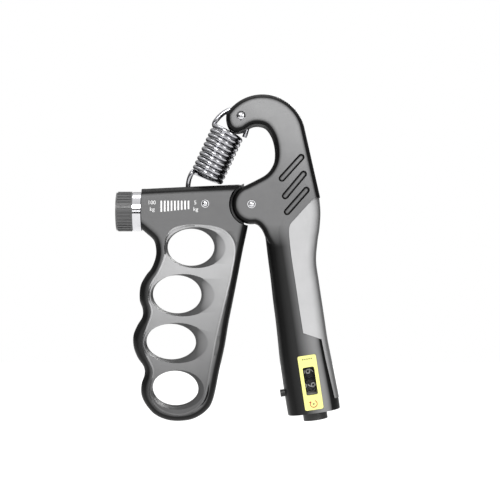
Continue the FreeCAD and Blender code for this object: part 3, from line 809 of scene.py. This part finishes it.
def domed_pin(node, body):
    """A pin with bright rounded ends, each with a narrow dark gap round it, in its CAD node's place."""
    low, high = (Vector(corner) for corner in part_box(node))
    radius, middle = (high.x - low.x) / 2, (low + high) / 2
    neck = radius - PIN_GAP
    turns = [math.radians(a) for a in range(6, 91, 12)]
    cap = [(PIN_DOME * (1 - math.cos(t)), neck * math.sin(t)) for t in turns]
    ends = cap + [(PIN_DOME, neck), (PIN_NECK_LONG, neck), (PIN_NECK_LONG, radius)]
    long = high.y - low.y
    profile = ends + [(long - y, r) for y, r in ends[::-1]]
    verts = []
    for y, r in profile:
        for k in range(PIN_SIDES):
            turn = 2 * math.pi * k / PIN_SIDES
            verts.append((middle.x + r * math.cos(turn), low.y + y, middle.z + r * math.sin(turn)))
    faces = skin(len(profile), PIN_SIDES)
    finish_piece(placed_mesh(node, verts, faces), node + "_domed", CHROME, body, node, 40)


finger_handle()
palm_handle()
palm_pad()
for node, body in (("main_pivot_pin", "palm_handle"), ("upper_spring_pin", "palm_handle"),
                   ("beam_rivet_front", "finger_handle"), ("beam_rivet_back", "finger_handle")):
    domed_pin(node, body)


# ---- spring: one wire, from the hook round the upper pin to the hook round the lower one ----

EYE = Vector((EYE_AT[0], 0, EYE_AT[1])) * MM
ANCHOR = Vector((-12.35, 0, 113.0)) * MM
AXIS = (ANCHOR - EYE).normalized()
LEFT = Vector((AXIS.z, 0, -AXIS.x))
COIL_TOP = Vector((-0.25, 0, 146.0)) * MM
COIL_LONG = 25.6 * MM
COIL_RADIUS = 7.4 * MM
WIRE_RADIUS = 1.25 * MM
TURNS = 10.0
STEPS_A_TURN = 40
UPPER_END = [Vector(p) * MM for p in ((8.2, 0, 143.4), (9.3, 0, 147.0), (10.0, 0, 149.8), (10.53, 0, 151.68))]
OVER_CENTRE = Vector((5.6, 0, 153.0)) * MM
OVER_RADIUS = 5.1 * MM
DOWN_CENTRE = Vector((5.6, 0, 143.94)) * MM
DOWN_RADIUS = 14.16 * MM
LOWER_CENTRE = Vector((-12.35, 0, 117.65)) * MM
LOWER_RADIUS = 8.1 * MM


def bezier(a, b, c, d, steps):
    """Points along a cubic curve, without its last one."""
    out = []
    for i in range(steps):
        t = i / steps
        out.append(a * (1 - t) ** 3 + b * 3 * t * (1 - t) ** 2 + c * 3 * t * t * (1 - t) + d * t ** 3)
    return out


def coil_point(turn):
    """A point on the helix; turn 0 is at its left, and it winds towards the front."""
    angle = 2 * math.pi * turn
    middle = COIL_TOP + AXIS * (COIL_LONG * turn / TURNS)
    back = Vector((0, 1, 0))
    return middle + LEFT * (COIL_RADIUS * math.cos(angle)) - back * (COIL_RADIUS * math.sin(angle))


def arc_points(centre, radius, first, last, steps):
    """Points along an arc in XZ between two angles in degrees, without its last one."""
    out = []
    for i in range(steps):
        angle = math.radians(first + (last - first) * i / steps)
        out.append(centre + Vector((radius * math.cos(angle), 0, radius * math.sin(angle))))
    return out


def spring_path():
    """Upper hook from its cut end, over the pin, down to the coil, the coil, and the lower hook."""
    start = bezier(*UPPER_END, 8)
    over = arc_points(OVER_CENTRE, OVER_RADIUS, -15, 90, 16)
    down = arc_points(DOWN_CENTRE, DOWN_RADIUS, 90, 146, 16)
    first = coil_point(0)
    ahead = (coil_point(0.02) - first).normalized()
    join_from = down[-1] + (down[-1] - down[-2])
    slope = (down[-1] - down[-2]).normalized()
    join = bezier(join_from, join_from + slope * 2.2 * MM, first - ahead * 2.4 * MM, first, 10)
    steps = int(TURNS * STEPS_A_TURN)
    coil = [coil_point(TURNS * i / steps) for i in range(steps + 1)]
    last, before = coil[-1], coil[-2]
    leave = (last - before).normalized()
    hook_in = LOWER_CENTRE - Vector((LOWER_RADIUS, 0, 0))
    fall = bezier(last, last + leave * 3.0 * MM, hook_in + Vector((0, 0, 5.0 * MM)), hook_in, 14)[1:]
    under = arc_points(LOWER_CENTRE, LOWER_RADIUS, 180, 360, 36)
    return start + over + down + join + coil + fall + under


verts, faces = tube(spring_path(), WIRE_RADIUS, 14)
spring = mesh_from("spring", verts, faces, WIRE, None)
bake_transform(spring)
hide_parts("spring_top", "spring_bottom")


# ---- lead screw with a real thread form ----

SCREW_Z = SCREW_HEIGHT * MM
SCREW_FROM = -54.0 * MM
SCREW_TO = -1.0 * MM
THREAD_FROM = -39.5 * MM
THREAD_TO = -2.0 * MM
THREAD_PITCH = 2.0 * MM
SCREW_RADIUS = 2.5 * MM
SCREW_CHAMFER = 0.4 * MM
THREAD_DEPTH = 0.45 * MM


def lead_screw():
    """A screw along X with a right-hand thread, which carries the slider one pitch a turn."""
    sides, rings = 20, []
    step = THREAD_PITCH / 12
    x = SCREW_FROM
    while x < SCREW_TO:
        rings.append(x)
        x += step if THREAD_FROM - step < x < THREAD_TO else 1.0 * MM
    rings.append(SCREW_TO)
    verts = []
    for x in rings:
        for k in range(sides):
            turn = 2 * math.pi * k / sides
            phase = ((x - THREAD_FROM) / THREAD_PITCH - k / sides) % 1.0
            threaded = THREAD_FROM < x < THREAD_TO
            radius = SCREW_RADIUS - (THREAD_DEPTH * (1 - abs(2 * phase - 1)) if threaded else 0)
            if x in (rings[0], rings[-1]):
                radius = SCREW_RADIUS - SCREW_CHAMFER
            verts.append((x, radius * math.cos(turn), SCREW_Z + radius * math.sin(turn)))
    faces = skin(len(rings), sides)
    screw = mesh_from("lead_screw_threaded", verts, faces, STEEL, "adjuster")
    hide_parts("lead_screw")


lead_screw()


# ---- printing: the scale on the beam, the bezel's marks and the number wheels ----

def text_mesh(name, words, height, thick, material, body, matrix):
    """Raised lettering: local X is the reading direction, local Y is up, local Z stands off the face."""
    curve = bpy.data.curves.new(name + "_text", "FONT")
    curve.body = words
    curve.size = height * 1.4
    curve.align_x = "CENTER"
    curve.align_y = "CENTER"
    curve.extrude = thick / 2
    curve.resolution_u = 3
    scratch = bpy.data.objects.new(name + "_text", curve)
    bpy.context.scene.collection.objects.link(scratch)
    bpy.context.view_layer.update()
    data = bpy.data.meshes.new_from_object(scratch.evaluated_get(bpy.context.evaluated_depsgraph_get()))
    bpy.data.objects.remove(scratch)
    data.materials.clear()
    data.transform(matrix)
    data.name = name
    return add_object(name, data, material, body)


def on_front(x, z, y):
    """From lettering space to a face that looks towards -Y, at (x, z) millimetres and y metres."""
    return Matrix.Translation(Vector((x * MM, y, z * MM))) @ Matrix.Rotation(math.radians(90), 4, "X")


def bars(name, boxes, y, thick, material, body):
    """Flat printed bars on a face towards -Y: each box is x, z, width, height in millimetres."""
    verts, faces = [], []
    for x, z, wide, tall in boxes:
        first = len(verts)
        for dy in (0, -thick):
            for sx, sz in ((-1, -1), (1, -1), (1, 1), (-1, 1)):
                verts.append(((x + sx * wide / 2) * MM, y + dy, (z + sz * tall / 2) * MM))
        a = first
        faces += [(a, a + 1, a + 2, a + 3), (a + 7, a + 6, a + 5, a + 4)]
        faces += [(a + i, a + 4 + i, a + 4 + (i + 1) % 4, a + (i + 1) % 4) for i in range(4)]
    return mesh_from(name, verts, faces, material, body, smooth=False)


TICKS = 9
TICKS_FROM = -33.4
TICKS_LONG = 13.6
TICKS_TOP = 110.9
TICK_WIDE = 0.8
TICK_TALL = 5.6
TICK_SHRINK = 1.4
SCALE_HEIGHT = 2.0 * MM
SCALE_WORDS = [
    ("scale_100", "100", -38.2, 109.9), ("scale_kg_high", "kg", -38.0, 106.6),
    ("scale_5", "5", -16.4, 109.9), ("scale_kg_low", "kg", -16.2, 106.6),
]
ticks = []
for i in range(TICKS):
    part = i / (TICKS - 1)
    tall = TICK_TALL - TICK_SHRINK * part
    ticks.append((TICKS_FROM + TICKS_LONG * part, TICKS_TOP - tall / 2, TICK_WIDE, tall))
bars("scale_ticks", ticks, BEAM_FACE, PAPER_GAP, INK_WHITE, "finger_handle")
for name, words, x, z in SCALE_WORDS:
    text_mesh(name, words, SCALE_HEIGHT, PAPER_GAP, INK_WHITE, "finger_handle",
              on_front(x, z, BEAM_FACE - PAPER_GAP / 2))


BEZEL_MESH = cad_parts["counter_bezel"].data
BEZEL_POINTS = [vertex.co for vertex in BEZEL_MESH.vertices]
BEZEL_SURFACE = BVHTree.FromPolygons(BEZEL_POINTS, [face.vertices for face in BEZEL_MESH.polygons])


def on_bezel(across, along_handle):
    """A point on the bezel's front, from distances in millimetres across and down the handle."""
    point = CENTRE + (INWARD * across + DOWN * along_handle) * MM
    hit = BEZEL_SURFACE.ray_cast(Vector((point.x, -20 * MM, point.z)), Vector((0, 1, 0)))[0]
    return hit if hit else point


def printed_line(name, strokes, material):
    """Flat strokes on the bezel; each is a list of (across, down, half width) in millimetres."""
    verts, faces = [], []
    for stroke in strokes:
        first = len(verts)
        for i, (a, b, half) in enumerate(stroke):
            ahead, behind = stroke[min(i + 1, len(stroke) - 1)], stroke[max(i - 1, 0)]
            run = Vector((ahead[0] - behind[0], ahead[1] - behind[1])).normalized()
            left = on_bezel(a + run.y * half, b - run.x * half)
            right = on_bezel(a - run.y * half, b + run.x * half)
            lift = Vector((0, PAPER_GAP, 0))
            verts += [left - lift, right - lift, right + lift, left + lift]
        for i in range(len(stroke) - 1):
            for k in range(4):
                p, q = first + 4 * i + k, first + 4 * i + (k + 1) % 4
                faces.append((p, q, q + 4, p + 4))
        faces.append((first + 3, first + 2, first + 1, first))
        last = first + 4 * (len(stroke) - 1)
        faces.append((last, last + 1, last + 2, last + 3))
    mark = placed_mesh(name, verts, faces)
    mark.data.materials.append(material)
    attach(mark, "palm_handle")


def reset_arrow():
    """A generic turn-back arrow: most of a circle, ending in a pointed head, with a dot in its middle."""
    radius, low = 1.75, 10.0
    turns = [math.radians(a) for a in range(-60, 201, 20)]
    arc = [(radius * math.cos(t), low + radius * math.sin(t), 0.22) for t in turns]
    end = turns[-1]
    head = [(radius * math.cos(end + k * 0.28), low + radius * math.sin(end + k * 0.28), half)
            for k, half in ((0.1, 0.22), (0.15, 0.85), (1.0, 0.45), (2.0, 0.04))]
    printed_line("reset_arrow", [arc + head], INK_RED)
    printed_line("reset_dot", [[(-0.5, low + 0.1, 0.3), (0.5, low + 0.1, 0.3)]], INK_DARK)


def bezel_dashes():
    """A row of short dashes above the window."""
    half, down = 0.3, -12.4
    dashes = [[(a - half, down, half), (a + half, down, half)] for a in (-2.2, -1.1, 0.0, 1.1, 2.2)]
    printed_line("bezel_dashes", dashes, INK_DARK)


reset_arrow()
bezel_dashes()


# ---- number wheels: figures 0 to 9 wrapped round each wheel, reading along the handle ----

WHEEL_RADIUS = 6.8 * MM
FIGURE_HEIGHT = 4.1 * MM
FIGURE_THICK = 0.3 * MM
FIGURE_SUNK = 0.11 * MM


def wrap_on_wheel(data, distance, turn):
    """Bends lettering round a wheel's rim, so that its tops point across the handle."""
    outward = Vector((0, -1, 0)) * math.cos(turn) + INWARD * math.sin(turn)
    upward = outward.cross(DOWN)
    centre = FOOT - DOWN * distance * MM
    for vertex in data.vertices:
        x, y, z = vertex.co
        angle = y / WHEEL_RADIUS
        reach = WHEEL_RADIUS - FIGURE_SUNK + z
        vertex.co = centre + DOWN * x + (outward * math.cos(angle) + upward * math.sin(angle)) * reach


def wheel_figures(name, distance, shown, body):
    """Ten figures round one wheel, a distance in millimetres up from the foot, with one facing the window."""
    for number in range(10):
        turn = math.radians(36 * (number - shown))
        figure = text_mesh("%s_%d" % (name, number), str(number), FIGURE_HEIGHT, FIGURE_THICK, INK_WHITE,
                           body, Matrix())
        wrap_on_wheel(figure.data, distance, turn)


wheel_figures("tens_figure", 21.0, 6, "tens_counter")
wheel_figures("units_figure", 14.0, 9, "units_counter")


# ---- camera, light and backdrop ----

FLOOR_LEVEL = -0.012


def backdrop():
    """The floor, low enough that the squeezed finger handle swings clear of it."""
    data = bpy.data.meshes.new("backdrop")
    corners = [(-0.5, -0.5), (0.5, -0.5), (0.5, 0.5), (-0.5, 0.5)]
    data.from_pydata([(x, y, FLOOR_LEVEL) for x, y in corners], [], [(0, 1, 2, 3)])
    n = Nodes("backdrop_paper")
    n.shader.inputs["Base Color"].default_value = (0.30, 0.30, 0.30, 1)
    n.shader.inputs["Roughness"].default_value = 0.9
    n.shader.inputs["Emission Color"].default_value = (1, 1, 1, 1)
    n.shader.inputs["Emission Strength"].default_value = 0.80
    floor = bpy.data.objects.new("backdrop", data)
    data.materials.append(n.material)
    bpy.context.scene.collection.objects.link(floor)


CAMERA_AT = (0.011, -0.7044, 0.0862)
LIT_MIDDLE = (0.0, 0.0, 0.085)
# Each softbox: name, place, width and height in metres, and power in watts.
LIGHTS = [
    ("key", (-0.20, -1.05, 0.70), (0.40, 0.40), 7.5),
    ("front", (0.05, -1.30, 0.14), (0.90, 0.16), 1.0),
    ("fill", (0.60, -0.85, 0.30), (0.30, 0.45), 2.5),
    ("top", (0.0, 0.1, 0.95), (0.6, 0.3), 2.0),
    ("back", (0.35, 0.95, 0.60), (0.40, 0.40), 6.0),
]
# Brightness of the reflected sky from straight down (0) to straight up (1).
SKY_LEVELS = [(0.0, 0.02), (0.42, 0.03), (0.56, 0.10), (0.68, 0.45), (1.0, 0.80)]


def softbox(name, place, target, size, power):
    data = bpy.data.lights.new(name, "AREA")
    data.shape = "RECTANGLE"
    data.size, data.size_y = size
    data.energy = power
    light = bpy.data.objects.new(name, data)
    light.location = place
    light.rotation_euler = (Vector(target) - Vector(place)).to_track_quat("-Z", "Y").to_euler()
    bpy.context.scene.collection.objects.link(light)


def studio():
    """A sky that is dark below and light above in reflections but white to the camera, and the softboxes."""
    world = bpy.data.worlds.new("studio")
    world.use_nodes = True
    tree = world.node_tree
    direction = tree.nodes.new("ShaderNodeTexCoord")
    split = tree.nodes.new("ShaderNodeSeparateXYZ")
    tree.links.new(direction.outputs["Generated"], split.inputs[0])
    ramp = tree.nodes.new("ShaderNodeValToRGB")
    for position, level in SKY_LEVELS:
        stop = ramp.color_ramp.elements.new(position)
        stop.color = (level, level, level, 1)
    shift = tree.nodes.new("ShaderNodeMapRange")
    shift.inputs["From Min"].default_value = -1.0
    tree.links.new(split.outputs["Z"], shift.inputs["Value"])
    tree.links.new(shift.outputs["Result"], ramp.inputs["Fac"])
    tree.links.new(ramp.outputs["Color"], tree.nodes["Background"].inputs["Color"])
    paper = tree.nodes.new("ShaderNodeBackground")
    paper.inputs["Color"].default_value = (1, 1, 1, 1)
    seen = tree.nodes.new("ShaderNodeLightPath")
    choose = tree.nodes.new("ShaderNodeMixShader")
    tree.links.new(seen.outputs["Is Camera Ray"], choose.inputs["Fac"])
    tree.links.new(tree.nodes["Background"].outputs[0], choose.inputs[1])
    tree.links.new(paper.outputs[0], choose.inputs[2])
    tree.links.new(choose.outputs[0], tree.nodes["World Output"].inputs["Surface"])
    bpy.context.scene.world = world
    for name, place, size, power in LIGHTS:
        softbox(name, place, LIT_MIDDLE, size, power)
    bpy.context.scene.view_settings.view_transform = "Standard"


def camera():
    """A long lens square on to the front."""
    data = bpy.data.cameras.new("camera")
    data.lens = 100
    data.sensor_width = 36
    eye = bpy.data.objects.new("camera", data)
    eye.location = CAMERA_AT
    eye.rotation_euler = (math.radians(90), 0, 0)
    bpy.context.scene.collection.objects.link(eye)
    bpy.context.scene.camera = eye


backdrop()
studio()
camera()
